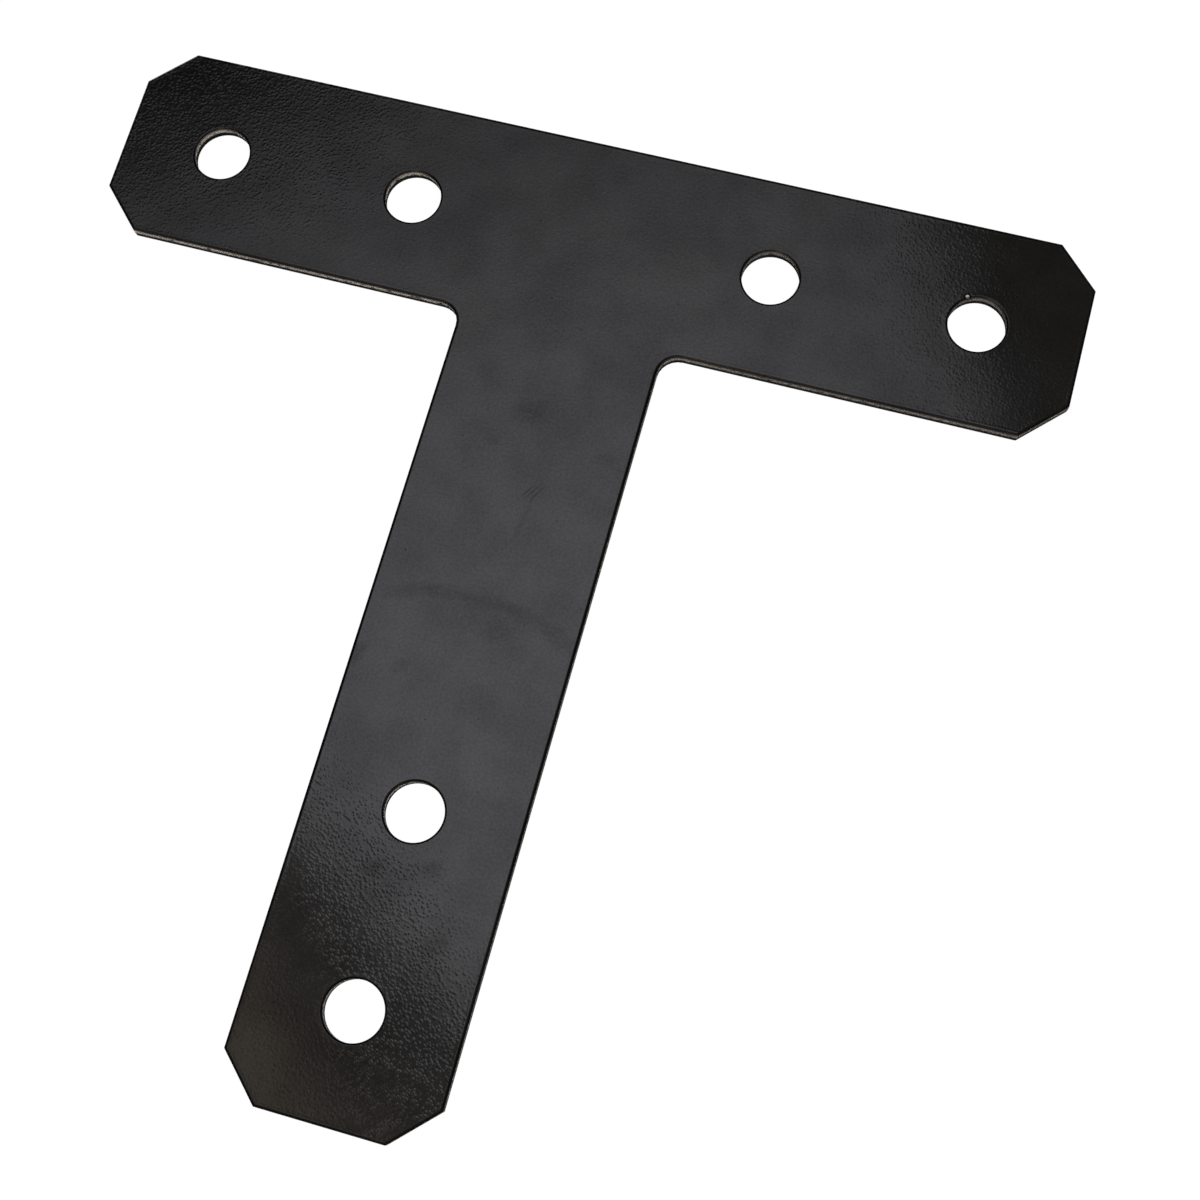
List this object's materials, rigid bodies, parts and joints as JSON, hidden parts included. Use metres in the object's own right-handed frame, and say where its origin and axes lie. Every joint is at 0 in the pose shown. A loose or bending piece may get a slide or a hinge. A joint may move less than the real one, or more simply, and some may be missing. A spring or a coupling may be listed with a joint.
{
  "type": "t plate bracket",
  "caption": "Flat T-shaped steel plate with cut corners and bolt holes along its arms and stem, for tying a beam to a post.",
  "frame": {"origin": "on the back face, where the centre lines of the crossbar and the stem cross", "axes": "+X along the crossbar, -Y down the stem, +Z out of the front face"},
  "size_m": [0.3048, 0.3049, 0.0047],
  "materials": {
    "black_powder_coat": "satin black powder coat with a fine orange peel"
  },
  "bodies": {
    "root": {"t_plate": "black_powder_coat"}
  },
  "joints": []
}
